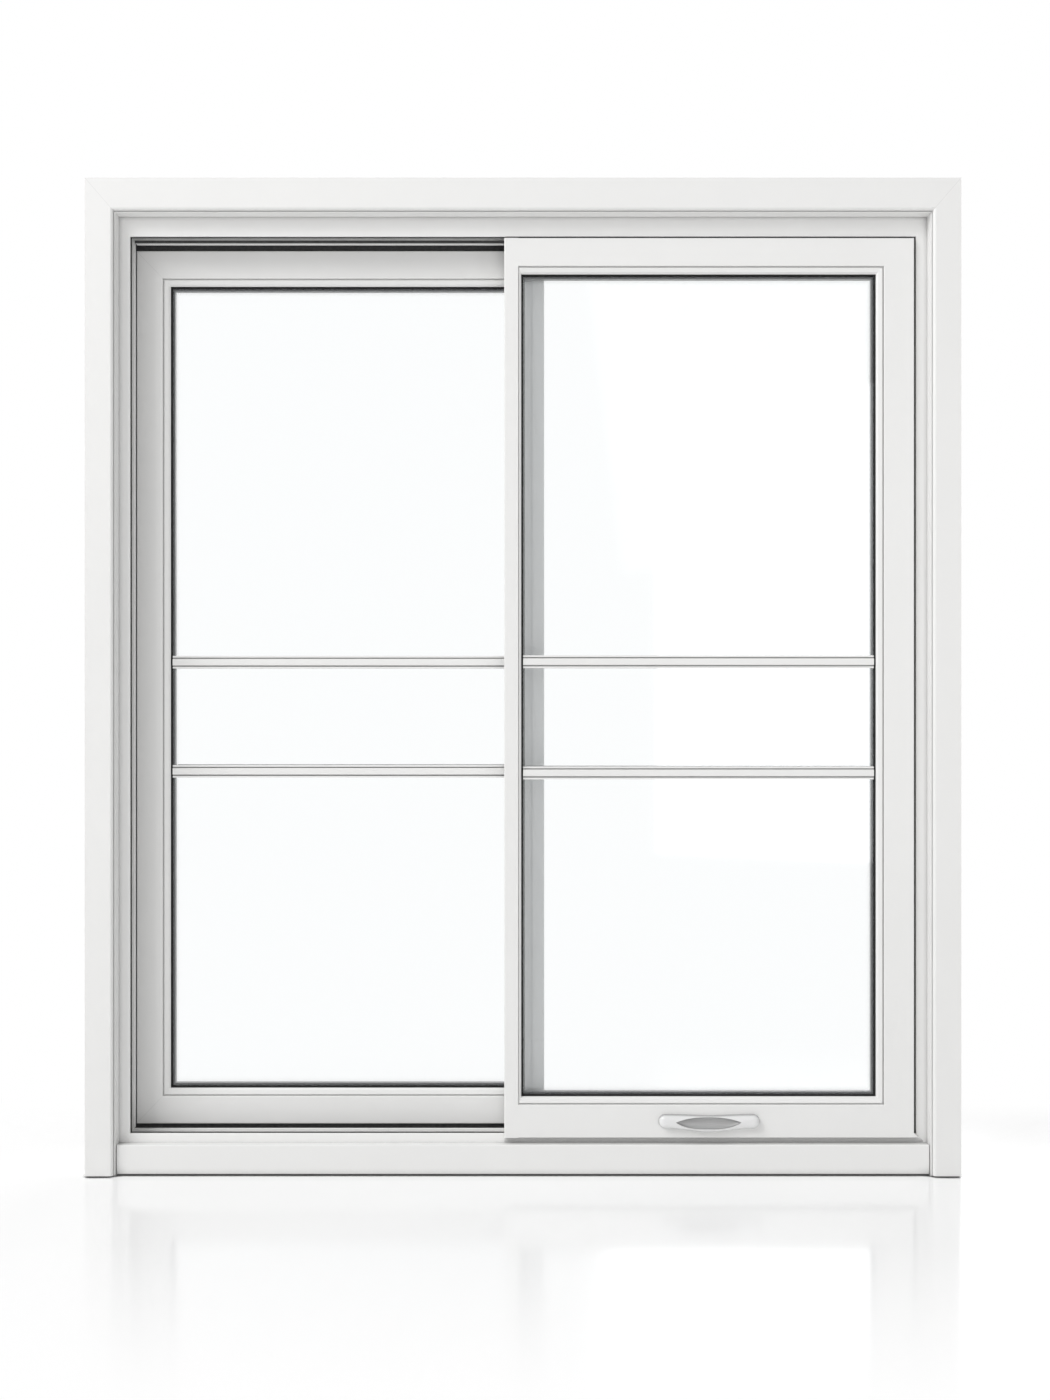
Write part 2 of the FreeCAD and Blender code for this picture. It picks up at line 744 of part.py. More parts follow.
def build_beads(side):
    left, right, bottom, top = glazing_edges(side)
    y, full = side + "_sash_y", "bead_width"
    left_bead = "narrow_bead" if side == "front" else full
    width, height = "%s - (%s)" % (right, left), "%s - (%s)" % (top, bottom)
    narrow = stretched(BEAD_SECTION, "%s / bead_width" % left_bead)
    piece = extrusion(side + "_bead_left", narrow, height, (left, y, bottom), 0, (), left_bead, full, full)
    keep(piece, side + "_sash_bead_left")
    piece = extrusion(side + "_bead_right", BEAD_SECTION, height, (right, y, top), 180, (), full, full, full)
    keep(piece, side + "_sash_bead_right")
    piece = extrusion(side + "_bead_top", BEAD_SECTION, width, (left, y, top), 90, (), full, left_bead, full)
    keep(piece, side + "_sash_bead_top")
    piece = extrusion(
        side + "_bead_bottom", BEAD_SECTION, width, (right, y, bottom), 270, (), full, full, left_bead
    )
    keep(piece, side + "_sash_bead_bottom")


def ring_pad(body, outer, inner, thickness):
    """A flat ring that grows towards the back from the body's XZ plane."""
    sketch = new_sketch(body, "XZ_Plane")
    draw_polygon(sketch, rectangle(outer[0], outer[2], outer[1], outer[3]))
    draw_polygon(sketch, rectangle(inner[0], inner[2], inner[1], inner[3]))
    return pad(body, sketch, thickness, True)


def pane_edges(side):
    """Left, right, bottom and top of the panes."""
    left, right, bottom, top = glazing_edges(side)
    return (
        left + " + pane_edge_gap", "%s - pane_edge_gap" % right,
        bottom + " + pane_edge_gap", "%s - pane_edge_gap" % top,
    )


def build_gaskets(side):
    """Black gaskets on both faces of the glass, each with a lip that shows past its bead."""
    y = side + "_sash_y"
    inner = daylight_edges(side, "gasket_show")
    cover = pane_edges(side)
    daylight = daylight_edges(side)
    body = doc.addObject("PartDesign::Body", side + "_gasket_front")
    ring_pad(body, cover, inner, "gasket_thickness")
    sketch = new_sketch(body, "XZ_Plane")
    draw_polygon(sketch, rectangle(daylight[0], daylight[2], daylight[1], daylight[3]))
    draw_polygon(sketch, rectangle(inner[0], inner[2], inner[1], inner[3]))
    pad(body, sketch, "gasket_lip")
    place(body, "0", y + " + bead_thickness", "0")
    keep(body, side + "_sash_gasket_front")
    body = doc.addObject("PartDesign::Body", side + "_gasket_back")
    behind = daylight_edges(side, "back_gasket_show")
    ring_pad(body, cover, behind, "flange_y - glass_back_y")
    place(body, "0", y + " + glass_back_y", "0")
    keep(body, side + "_sash_gasket_back")


def build_glass(side):
    """Two panes with a spacer between their edges."""
    edges = pane_edges(side)
    for name, y in (("outer", "pane_y"), ("inner", "back_pane_y")):
        pane = doc.addObject("Part::Box", "%s_pane_%s" % (side, name))
        bind(pane, "Length", "%s - (%s)" % (edges[1], edges[0]))
        bind(pane, "Width", "pane_thickness")
        bind(pane, "Height", "%s - (%s)" % (edges[3], edges[2]))
        place(pane, edges[0], "%s_sash_y + %s" % (side, y), edges[2])
        keep(pane, "%s_sash_pane_%s" % (side, "front" if name == "outer" else "back"))
    body = doc.addObject("PartDesign::Body", side + "_spacer")
    ring_pad(body, edges, daylight_edges(side, "gasket_show + spacer_show"), "pane_cavity")
    place(body, "0", side + "_sash_y + cavity_y", "0")
    keep(body, side + "_sash_glass_spacer")


def build_bars(side):
    """Two glazing bars on the front of the glass and two behind it."""
    half_base, half_crown = "bar_base_width / 2", "bar_crown_width / 2"
    half = [
        (half_base, "0"),
        (half_base, "bar_base_thickness"),
        (half_crown + " + bar_groove_width", "bar_base_thickness"),
        (half_crown + " + bar_groove_width", "bar_base_thickness - bar_groove_depth"),
        (half_crown, "bar_base_thickness - bar_groove_depth"),
        (half_crown, "bar_thickness - bar_bevel"),
        (half_crown + " - bar_bevel", "bar_thickness"),
    ]
    bars = []
    faces = (
        ("front", "-1", "pane_y", "gasket_show"), ("back", "1", "glass_back_y", "back_gasket_show")
    )
    for face, sign, y, margin in faces:
        left, right, _, _ = daylight_edges(side, margin)
        section = [(x, "%s * (%s)" % (sign, rise)) for x, rise in half]
        section += [("0 - (%s)" % x, "%s * (%s)" % (sign, rise)) for x, rise in reversed(half)]
        for level in ("upper", "lower"):
            at = (right, "%s_sash_y + %s" % (side, y), level + "_bar_height")
            name = "%s_bar_%s_%s" % (side, level, face)
            bars.append(extrusion(name, section, "%s - (%s)" % (right, left), at, 270))
    compound(side + "_sash_glazing_bars", bars)


def build_lip_seal():
    """A black seal behind the front lip, all round the opening, that shows past its edge."""
    def ring(grow):
        edge = "opening_half + (%s)" % grow
        return rectangle(
            "0 - (%s)" % edge, "frame_rise - (%s)" % grow, edge, "opening_top + (%s)" % grow
        )
    body = doc.addObject("PartDesign::Body", "frame_lip_seal")
    sketch = new_sketch(body, "XZ_Plane")
    draw_polygon(sketch, ring("lip_seal_width - lip_seal_show"))
    draw_polygon(sketch, ring("0 - lip_seal_show"))
    pad(body, sketch, "lip_seal_thickness", True)
    place(body, "0", "frame_y + front_lip", "0")
    keep(body, "frame_lip_seal")


def build_pile_seal():
    """A pile strip on the front of the tongue, round three sides of the rear sash."""
    wide = "sash_tongue - 1"
    low, high, near, far = "rear_bottom", "rear_top", "rear_right", "rear_left"
    outline = [
        (near, low),
        (near, "%s - (%s)" % (low, wide)),
        ("%s - (%s)" % (far, wide), "%s - (%s)" % (low, wide)),
        ("%s - (%s)" % (far, wide), "%s + %s" % (high, wide)),
        (near, "%s + %s" % (high, wide)),
        (near, high),
        (far, high),
        (far, low),
    ]
    body = doc.addObject("PartDesign::Body", "rear_pile_seal")
    sketch = new_sketch(body, "XZ_Plane")
    draw_polygon(sketch, outline)
    pad(body, sketch, "seal_thickness")
    place(body, "0", "rear_sash_y + sash_step", "0")
    keep(body, "rear_sash_pile_seal")


def build_pull():
    """Finger pull on the front sash: a rounded bar, a lip that hangs below it, and a dish."""
    body = doc.addObject("PartDesign::Body", "sash_pull")
    vector = FreeCAD.Vector
    half = "(pull_length - pull_height) / 2"
    end, radius = number(half), number("pull_height / 2")
    left_low, right_low = vector(-end, -radius, 0), vector(end, -radius, 0)
    left_high, right_high = vector(-end, radius, 0), vector(end, radius, 0)
    sketch = new_sketch(body, "XZ_Plane")
    sketch.addGeometry(Part.LineSegment(left_low, right_low))
    sketch.addGeometry(Part.Arc(right_low, vector(end + radius, 0, 0), right_high))
    sketch.addGeometry(Part.LineSegment(right_high, left_high))
    sketch.addGeometry(Part.Arc(left_high, vector(-end - radius, 0, 0), left_low))
    for i in range(4):
        sketch.addConstraint(Sketcher.Constraint("Coincident", i, 2, (i + 1) % 4, 1))
    pin_point(sketch, 0, 1, "0 - " + half, "0 - pull_height / 2")
    pin_point(sketch, 0, 2, half, "0 - pull_height / 2")
    pin_point(sketch, 2, 1, half, "pull_height / 2")
    pin_point(sketch, 2, 2, "0 - " + half, "pull_height / 2")
    for arc, middle in ((1, half), (3, "0 - " + half)):
        rule = Sketcher.Constraint("DistanceX", -1, 1, arc, 3, number(middle))
        bind(sketch, "Constraints[%d]" % sketch.addConstraint(rule), middle)
    bar = pad(body, sketch, "pull_depth")
    front = [
        "Edge%d" % i
        for i, edge in enumerate(bar.Shape.Edges, start=1)
        if all(abs(v.Point.y + number("pull_depth")) < 0.01 for v in edge.Vertexes)
    ]
    fillet = body.newObject("PartDesign::Fillet", "sash_pull_round")
    fillet.Base = (bar, front)
    bind(fillet, "Radius", "pull_round")
    doc.recompute()

    # The lip is a slice of a wide circle whose flat side lies inside the bar.
    lip = new_sketch(body, "XZ_Plane")
    reach, rise = number("lip_length / 2"), number("pull_height / 4")
    sag = number("pull_height / 2 + pull_belly")
    left_end, right_end = vector(-reach, -rise, 0), vector(reach, -rise, 0)
    lip.addGeometry(Part.Arc(left_end, vector(0, -sag, 0), right_end))
    lip.addGeometry(Part.LineSegment(right_end, left_end))
    lip.addConstraint(Sketcher.Constraint("Coincident", 0, 2, 1, 1))
    lip.addConstraint(Sketcher.Constraint("Coincident", 1, 2, 0, 1))
    pin_point(lip, 1, 1, "lip_length / 2", "0 - pull_height / 4")
    pin_point(lip, 1, 2, "0 - lip_length / 2", "0 - pull_height / 4")
    drop = "(pull_height / 4 + pull_belly)"
    curve = "((lip_length / 2) ^ 2 + %s ^ 2) / (2 * %s)" % (drop, drop)
    rule = Sketcher.Constraint("Radius", 0, number(curve))
    bind(lip, "Constraints[%d]" % lip.addConstraint(rule), curve)
    pad(body, lip, "pull_depth - pull_round / 4")
    dish = body.newObject("PartDesign::Groove", "sash_pull_dish")
    lens = new_sketch(body, "XY_Plane")
    reach, deep = number("dish_length / 2"), number("dish_depth")
    bind(lens, "AttachmentOffset.Base.y", "0 - pull_depth")
    left_tip, right_tip = vector(-reach, 0, 0), vector(reach, 0, 0)
    lens.addGeometry(Part.Arc(right_tip, vector(0, deep, 0), left_tip))
    lens.addGeometry(Part.LineSegment(left_tip, right_tip))
    lens.addConstraint(Sketcher.Constraint("Coincident", 0, 2, 1, 1))
    lens.addConstraint(Sketcher.Constraint("Coincident", 1, 2, 0, 1))
    pin_point(lens, 1, 1, "0 - dish_length / 2", "0")
    pin_point(lens, 1, 2, "dish_length / 2", "0")
    curve = "((dish_length / 2) ^ 2 + dish_depth ^ 2) / (2 * dish_depth)"
    rule = Sketcher.Constraint("Radius", 0, number(curve))
    bind(lens, "Constraints[%d]" % lens.addConstraint(rule), curve)
    dish.Profile = lens
    dish.ReferenceAxis = (lens, ["H_Axis"])
    dish.Angle = 360
    body.Tip = dish
    doc.recompute()
    middle_x = "(front_left + front_right) / 2"
    middle_z = "front_bottom + pull_rise"
    place(body, middle_x, "front_sash_y", middle_z)
    keep(body, "front_sash_pull")


build_casing()
build_frame()
build_head_seal()
build_lip_seal()
build_pile_seal()
for side in ("front", "rear"):
    build_track(side)
    build_sash_frame(side)
    build_beads(side)
    build_gaskets(side)
    build_glass(side)
    build_bars(side)
    build_rollers(side)
build_pull()
doc.recompute()

for thing in doc.Objects:
    if "Invalid" in thing.State or "Error" in thing.State:
        raise SystemExit("%s did not build" % thing.Label)
for node in nodes:
    if node.Shape.isNull() or not node.Shape.isValid():
        raise SystemExit("%s has no valid shape" % node.Label)

os.makedirs("parts", exist_ok=True)
for node in nodes:
    node.Shape.exportStep("parts/%s.step" % node.Label)
    box = node.Shape.BoundBox
    print("%-28s solids %d  volume %.0f  x %.1f %.1f  y %.1f %.1f  z %.1f %.1f" % (
        node.Label, len(node.Shape.Solids), node.Shape.Volume,
        box.XMin, box.XMax, box.YMin, box.YMax, box.ZMin, box.ZMax,
    ))
print("pieces", len(nodes))
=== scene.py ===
# %% [markdown]
# # A horizontal sliding window, finished and photographed
#
# The window arrives as plain solids: casing, frame, two sashes, glass and
# fittings, all in metres, with the floor at height zero and X to the right.
# Each cell below gives some of those solids a surface, or adds a detail that
# is too small or too soft for a solid, and then the whole is lit on a white
# floor. The cells run from top to bottom and print what they made.

# %% Tools and the window
import math
import bpy
import numpy as np
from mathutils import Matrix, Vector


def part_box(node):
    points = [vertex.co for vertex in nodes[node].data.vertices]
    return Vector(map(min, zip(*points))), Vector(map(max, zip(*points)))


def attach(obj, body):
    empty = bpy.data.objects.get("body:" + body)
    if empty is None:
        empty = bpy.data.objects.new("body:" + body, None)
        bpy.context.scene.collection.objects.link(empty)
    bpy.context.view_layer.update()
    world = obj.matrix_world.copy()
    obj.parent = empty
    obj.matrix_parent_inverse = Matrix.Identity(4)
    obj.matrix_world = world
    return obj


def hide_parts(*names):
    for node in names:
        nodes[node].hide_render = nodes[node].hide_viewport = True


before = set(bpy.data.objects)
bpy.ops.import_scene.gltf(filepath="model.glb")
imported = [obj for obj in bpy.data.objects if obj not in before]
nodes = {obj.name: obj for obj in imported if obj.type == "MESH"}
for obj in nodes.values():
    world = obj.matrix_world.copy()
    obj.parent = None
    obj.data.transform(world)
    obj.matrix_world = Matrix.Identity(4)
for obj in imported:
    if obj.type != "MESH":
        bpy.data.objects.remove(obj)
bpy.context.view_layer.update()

# %% [markdown]
# ## Writing a surface like a sum
#
# A finish is a recipe of nodes. It is easier to read as arithmetic, so each
# socket is wrapped in a small class that knows how to add and multiply.
# A number that stays the same is written straight on the socket it feeds.

# %% Sockets that can be added and multiplied
LOOKS_AROUND = 8


class Wire:
    """A node's output, usable in sums."""

    def __init__(self, recipe, socket):
        self.recipe = recipe
        self.socket = socket

    def math(self, operation, *others):
        return self.recipe.math(operation, self, *others)

    def __add__(self, other):
        return self.math("ADD", other)

    def __sub__(self, other):
        return self.math("SUBTRACT", other)

    def __mul__(self, other):
        return self.math("MULTIPLY", other)

    def __neg__(self):
        return self.math("MULTIPLY", -1.0)

    def __rsub__(self, other):
        return self.recipe.math("SUBTRACT", other, self)

    __radd__ = __add__
    __rmul__ = __mul__


class Recipe:
    """A material, with one method that adds any node."""

    def __init__(self, name):
        self.material = bpy.data.materials.new(name)
        self.material.use_nodes = True
        self.tree = self.material.node_tree
        self.tree.nodes.clear()
        self.output = self.tree.nodes.new("ShaderNodeOutputMaterial")

    def node(self, kind, settings=None, inputs=None, output=0):
        """Add a node, set its options, feed its inputs and hand back one output."""
        made = self.tree.nodes.new(kind)
        for key, value in (settings or {}).items():
            setattr(made, key, value)
        for key, value in (inputs or {}).items():
            if isinstance(value, Wire):
                self.tree.links.new(value.socket, made.inputs[key])
            else:
                made.inputs[key].default_value = value
        return Wire(self, made.outputs[output])

    def math(self, operation, *values):
        inputs = dict(enumerate(values))
        return self.node("ShaderNodeMath", {"operation": operation}, inputs)

    def place(self):
        """The point being shaded, in the object's own metres, as x, y and z."""
        coordinates = self.node("ShaderNodeTexCoord", output="Object")
        split = self.node("ShaderNodeSeparateXYZ", inputs={0: coordinates})
        axes = [Wire(self, split.socket.node.outputs[i]) for i in range(3)]
        return coordinates, axes

    def noise(self, coordinates, scale, detail=2.0, rough=0.5):
        """Soft noise between nought and one."""
        inputs = {"Vector": coordinates, "Scale": scale, "Detail": detail, "Roughness": rough}
        return self.node("ShaderNodeTexNoise", inputs=inputs)

    def stretch(self, coordinates, factors):
        """Coordinates multiplied along each axis."""
        inputs = {0: coordinates, 1: factors}
        return self.node("ShaderNodeVectorMath", {"operation": "MULTIPLY"}, inputs)

    def blend(self, factor, low, high):
        """Two colours mixed."""
        settings = {"data_type": "RGBA"}
        return self.node("ShaderNodeMix", settings, {0: factor, 6: low, 7: high}, 2)

    def ramp(self, value, low, high):
        """Nought below low, one above high and smooth between."""
        settings = {"interpolation_type": "SMOOTHSTEP"}
        return self.node("ShaderNodeMapRange", settings, {0: value, 1: low, 2: high})

    def covered(self, distance):
        """How far a point is walled in by what stands within a distance, from nought to one."""
        settings = {"samples": LOOKS_AROUND, "only_local": False}
        return 1.0 - self.node("ShaderNodeAmbientOcclusion", settings, {"Distance": distance}, 1)

    def bump(self, height, strength, distance):
        inputs = {"Height": height, "Strength": strength, "Distance": distance}
        return self.node("ShaderNodeBump", inputs=inputs)

    def finish(self, shader):
        self.tree.links.new(shader.socket, self.output.inputs["Surface"])
        return self.material


def grey(level):
    """A neutral colour."""
    return (level, level, level, 1.0)


def tinted(level):
    """The same, with the touch of warmth that white plastic has."""
    return (level, level * 0.997, level * 0.985, 1.0)


# %% [markdown]
# ## White plastic
#
# The members are cut from long bars of white plastic that were pushed hot
# through a steel die. Real ones carry very fine lines along their length and
# a faint unevenness in the gloss; their corners are darkened with painted shade.
# The lines run up the uprights and across the rails, so the direction is an
# input. The relief is a few hundredths of a millimetre, enough to break the
# reflection of a lamp and no more.
#
# Shade could be painted by hand, piece by piece. Here the finish asks at each
# point how far it is walled in by what stands around it, and paints shade
# where the answer is high, so every groove gets its own line of painted shade.

# %% White plastic for casing, frame and sashes
FINE, COARSE = 900.0, 6.0  # noise steps in a metre, across the lines and along them
PAINTED_SHADE_GREY, JOINT_GREY, GROOVE_GREY = 0.10, 0.25, 0.12
JOINT_SHADE, GROOVE_SHADE, SHELF_SHADE = 0.22, 0.55, 0.62
JOINT_NARROW, JOINT_WIDE = 0.00012, 0.00050
JOINT_START, JOINT_END = 0.030, 0.060
GROOVE_OFFSET, GROOVE_HALF = 0.0049, 0.0007
SHELF_START, SHELF_FULL = 0.24, 0.75
DEPTH_FADE, END_FADE = 0.002, 0.001
FRONT_SHARE = 0.12
COAT_SHARE, COAT_ROUGH = 0.25, 0.12


def extruded_plastic(name, level, along, gloss, painted_shade_set, corners=(), grooves=(), shelf=None):
    """White plastic with fine lines along one axis, painted shade in corners and grooves, and joint
    lines.

    A shelf is a place where more shade is painted: it holds the depth that the
    painted shade ends at, how far it reaches out from the corner, and where it starts and stops.
    """
    recipe = Recipe(name)
    coordinates, (x, y, z) = recipe.place()
    squeeze = [FINE, FINE, FINE]
    squeeze[along] = COARSE
    lines = recipe.noise(recipe.stretch(coordinates, tuple(squeeze)), 1.0, 3.0)
    cloud = recipe.noise(coordinates, 9.0, 3.0)
    grain = recipe.noise(coordinates, 2600.0, 1.0)
    colour = recipe.blend(cloud, tinted(level * 0.985), tinted(level * 1.01))
    joint = 0.0
    for corner_x, corner_z, slope in corners:
        off = ((x - corner_x) * slope - (z - corner_z)).math("ABSOLUTE")
        near = 1.0 - recipe.ramp((x - corner_x).math("ABSOLUTE"), JOINT_START, JOINT_END)
        joint = (1.0 - recipe.ramp(off, JOINT_NARROW, JOINT_WIDE)) * near + joint
    if corners:
        joint = joint.math("MINIMUM", 1.0)
        colour = recipe.blend(JOINT_SHADE * joint, colour, grey(JOINT_GREY))
    # Painted shade along the two grooves of each glazing bar.
    for height in grooves:
        off = ((z - height).math("ABSOLUTE") - GROOVE_OFFSET).math("ABSOLUTE")
        painted_groove_shade = 1.0 - recipe.ramp(off, GROOVE_HALF * 0.7, GROOVE_HALF * 1.2)
        colour = recipe.blend(GROOVE_SHADE * painted_groove_shade, colour, grey(GROOVE_GREY))
    reach, start, full, shade, inner = painted_shade_set
    # Painted shade: the colour darkens where the point is walled in, in corners, grooves and
    # recesses.
    painted_shade = shade * recipe.ramp(recipe.covered(reach), start, full)
    if inner is not None:
        behind = recipe.ramp(y, inner - DEPTH_FADE, inner)
        painted_shade = painted_shade * (FRONT_SHARE + (1.0 - FRONT_SHARE) * behind)
    # A shelf adds painted shade where a flat piece is walled in by what stands over and before it.
    if shelf is not None:
        depth, shelf_reach, (shelf_left, shelf_right) = shelf
        before = recipe.ramp(-y, -depth - DEPTH_FADE, -depth)
        before = before * recipe.ramp(x, shelf_left - END_FADE, shelf_left + END_FADE)
        before = before * recipe.ramp(-x, -shelf_right - END_FADE, -shelf_right + END_FADE)
        walled = recipe.ramp(recipe.covered(shelf_reach), SHELF_START, SHELF_FULL)
        shelf_painted_shade = SHELF_SHADE * before * walled
        painted_shade = painted_shade.math("MAXIMUM", shelf_painted_shade)
    colour = recipe.blend(painted_shade, colour, grey(PAINTED_SHADE_GREY))
    rough = gloss + 0.05 * cloud + 0.04 * lines
    relief = 0.7 * lines + 0.3 * grain
    normal = recipe.bump(relief, 0.12, 0.00004)
    inputs = {
        "Base Color": colour, "Roughness": rough, "Normal": normal, "IOR": 1.53,
        "Coat Weight": COAT_SHARE, "Coat Roughness": COAT_ROUGH,
    }
    return recipe.finish(recipe.node("ShaderNodeBsdfPrincipled", inputs=inputs))


# %% [markdown]
# ## Mitre lines
#
# Casing and sash are cut at a slant and welded at their corners. A hairline
# stays visible there. The solids already meet at the slant, so the line is
# only drawn: each one starts at a corner and leaves it at a known slope.

# %% Where the corners are welded
def casing_lines():
    """The two mitre lines of the casing, each as a corner and its slope."""
    leg_low, leg_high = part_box("casing_leg_left")
    head_low, head_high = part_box("casing_head")
    slope = float((head_high[2] - head_low[2]) / (leg_high[0] - leg_low[0]))
    top = float(head_high[2])
    return [(float(head_low[0]), top, -slope), (float(head_high[0]), top, slope)]


def rear_sash_lines():
    """The two mitre lines of the rear sash, at its outer stile."""
    stile_low, stile_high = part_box("rear_sash_outer_stile")
    rail_low, rail_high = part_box("rear_sash_top_rail")
    slope = float((rail_high[2] - rail_low[2]) / (stile_high[0] - stile_low[0]))
    x = float(stile_low[0])
    return [(x, float(stile_high[2]), -slope), (x, float(stile_low[2]), slope)]


print("casing joints:", casing_lines())
print("rear sash joints:", rear_sash_lines())

# %% [markdown]
# ## One recipe, several families
#
# Casing, frame and sashes are the same plastic, but the shade painted into
# their corners differs: most in the groove behind the casing, least on the
# meeting stile of the front sash and its bead. The frame is given a lighter
# white than the rest, painted light that brightens it. Each family has one set
# of five numbers for its uprights and one for its level pieces: how far the
# recipe looks around, where the painted shade starts, where it is full, how
# dark it gets and, for the casing, the depth that it lies behind.

# %% Plastic for each family
UPRIGHT, LEVEL = 2, 0
# Painted shade in corners for each family: reach, start, full, darkness and depth.
LEG_SHADE = (0.006, 0.38, 0.85, 0.55, -0.0286)
CASING_SHADE = (0.006, 0.38, 0.80, 0.97, -0.0286)
JAMB_SHADE = (0.005, 0.42, 0.90, 0.50, None)
FRAME_SHADE = (0.005, 0.42, 0.90, 0.85, None)
SILL_SHADE = (0.0045, 0.52, 0.90, 0.90, None)
SASH_SHADE = (0.006, 0.45, 0.95, 0.40, None)
MEETING_SHADE = (0.006, 0.60, 0.95, 0.10, None)
BACK_OF_LIP, BACK_OF_BOARD = -0.0215, -0.020
plastic = {}
finishes = (
    ("casing", 0.80, 0.42, LEG_SHADE, CASING_SHADE, casing_lines()),
    # The frame's white is lighter than the casing's and the sashes': painted light.
    ("frame", 0.85, 0.34, JAMB_SHADE, FRAME_SHADE, ()),
    ("front_sash", 0.80, 0.30, SASH_SHADE, SASH_SHADE, ()),
    ("rear_sash", 0.80, 0.30, SASH_SHADE, SASH_SHADE, rear_sash_lines()),
    ("meeting", 0.80, 0.30, MEETING_SHADE, MEETING_SHADE, ()),
)
for family, level, gloss, upright_shade, level_shade, lines in finishes:
    for word, along, painted_shade_set in (("upright", UPRIGHT, upright_shade), ("level", LEVEL, level_shade)):
        name = family + "_" + word
        plastic[family, word] = extruded_plastic(name, level, along, gloss, painted_shade_set, lines)
print("plastic families:", len(finishes), "finishes:", len(plastic))

# %% [markdown]
# ## Sill, board and glazing bars
#
# Two pieces get extra painted shade where they are walled in: the sill under
# the front sash and the top of the board. They get a shelf of it. The glazing
# bars have a fine groove along each edge, darkened with painted shade.

# %% Plastic for sill, board and bars
BAR_HEIGHTS = (0.6194, 0.4846)
PAST_BOARD = 0.01
skirt_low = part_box("front_sash_meeting_stile")[0]
skirt_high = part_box("front_sash_outer_stile")[1]
board_low, board_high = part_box("sill_board")
under_sash = (float(skirt_low[0]), float(skirt_high[0]))
whole_board = (float(board_low[0]) - PAST_BOARD, float(board_high[0]) + PAST_BOARD)
# The sill's white is lighter again: painted light, as on the frame.
sill_plastic = extruded_plastic(
    "frame_sill", 0.87, LEVEL, 0.34, SILL_SHADE, shelf=(BACK_OF_LIP, 0.013, under_sash)
)
board_plastic = extruded_plastic(
    "sill_board", 0.80, LEVEL, 0.42, CASING_SHADE, shelf=(BACK_OF_BOARD, 0.018, whole_board)
)
print("dust under the front sash from", under_sash[0], "to", under_sash[1])
bar_plastic = extruded_plastic("glazing_bar", 0.80, LEVEL, 0.32, SASH_SHADE, grooves=BAR_HEIGHTS)
print("more plastic:", sill_plastic.name, board_plastic.name, bar_plastic.name)

# %% [markdown]
# ## Black rubber
#
# The gaskets are soft rubber. Its skin is dull and slightly grained, because
# the die that it was pushed through is never polished, and it is darker in
# front than at the back, where light has bleached it.

# %% Rubber
def black_rubber(name, low, high):
    """Dull dark rubber, a little uneven, between two levels of grey."""
    recipe = Recipe(name)
    coordinates, _ = recipe.place()
    speck = recipe.noise(coordinates, 700.0, 2.0)
    wide = recipe.noise(coordinates, 14.0, 2.0)
    colour = recipe.blend(wide, grey(low), grey(high))
    inputs = {
        "Base Color": colour, "Roughness": 0.62 + 0.18 * speck, "Specular IOR Level": 0.3,
        "Normal": recipe.bump(speck, 0.25, 0.0001),
    }
    return recipe.finish(recipe.node("ShaderNodeBsdfPrincipled", inputs=inputs))


rubber = black_rubber("gasket_rubber", 0.008, 0.015)
back_rubber = black_rubber("back_gasket_rubber", 0.02, 0.03)
print("rubber:", rubber.name, back_rubber.name)

# %% [markdown]
# ## Drawn aluminium
#
# Track and spacer are aluminium drawn through a die, so their scratches follow
# their length. Noise that is squeezed across the length makes them. The spacer
# is darkened, the track is left bright where the rollers run.

# %% Aluminium
def drawn_aluminium(name, level):
    """Brushed metal with its scratches drawn out along the bar."""
    recipe = Recipe(name)
    coordinates, _ = recipe.place()
    lines = recipe.noise(recipe.stretch(coordinates, (20.0, 2400.0, 20.0)), 1.0, 3.0)
    haze = recipe.noise(coordinates, 30.0, 2.0)
    colour = recipe.blend(haze, grey(level), grey(level * 1.12))
    inputs = {
        "Base Color": colour, "Metallic": 1.0, "Roughness": 0.32 + 0.14 * lines,
        "Normal": recipe.bump(lines, 0.2, 0.00005),
    }
    return recipe.finish(recipe.node("ShaderNodeBsdfPrincipled", inputs=inputs))


spacer_metal = drawn_aluminium("spacer_aluminium", 0.15)
track_metal = drawn_aluminium("track_aluminium", 0.72)
print("aluminium:", spacer_metal.name, track_metal.name)

# %% [markdown]
# ## Pile and nylon
#
# The pile strips are short brushed fibres that keep out the draught. Separate
# hairs would cost millions of faces for a strip three millimetres wide, so
# noise in two sizes, for hairs and for tufts, breaks up its colour and relief.
# The rollers are moulded from dark nylon with a fine satin skin.

# %% Pile and nylon
def brushed_pile():
    """Dark fibres, darker between the tufts."""
    recipe = Recipe("pile")
    coordinates, _ = recipe.place()
    fibres = recipe.noise(coordinates, 1500.0, 2.0)
    tufts = recipe.noise(coordinates, 220.0, 2.0)
    colour = recipe.blend(fibres * tufts, grey(0.05), grey(0.16))
    inputs = {
        "Base Color": colour, "Roughness": 0.85 + 0.1 * fibres,
        "Normal": recipe.bump(fibres, 0.8, 0.0004),
    }
    return recipe.finish(recipe.node("ShaderNodeBsdfPrincipled", inputs=inputs))


def moulded_nylon():
    """Dark satin plastic for the rollers."""
    recipe = Recipe("roller_nylon")
    coordinates, _ = recipe.place()
    speck = recipe.noise(coordinates, 900.0, 2.0)
    colour = recipe.blend(speck, grey(0.02), grey(0.035))
    inputs = {
        "Base Color": colour, "Roughness": 0.4 + 0.15 * speck,
        "Normal": recipe.bump(speck, 0.2, 0.00008),
    }
    return recipe.finish(recipe.node("ShaderNodeBsdfPrincipled", inputs=inputs))


pile = brushed_pile()
nylon = moulded_nylon()
print("strip and rollers:", pile.name, nylon.name)

# %% [markdown]
# ## Glass
#
# A pane is thin and flat, so light goes straight on through it. A full glass
# shader would bend light in a sheet four millimetres thick and cost a lot of
# time for nothing that shows. A see-through shader mixed with a mirror does the
# same, with the mirror's share growing towards the edge of vision.

# %% Glass
MIRROR_SHARE, MIRROR_GROWTH = 0.08, 0.3


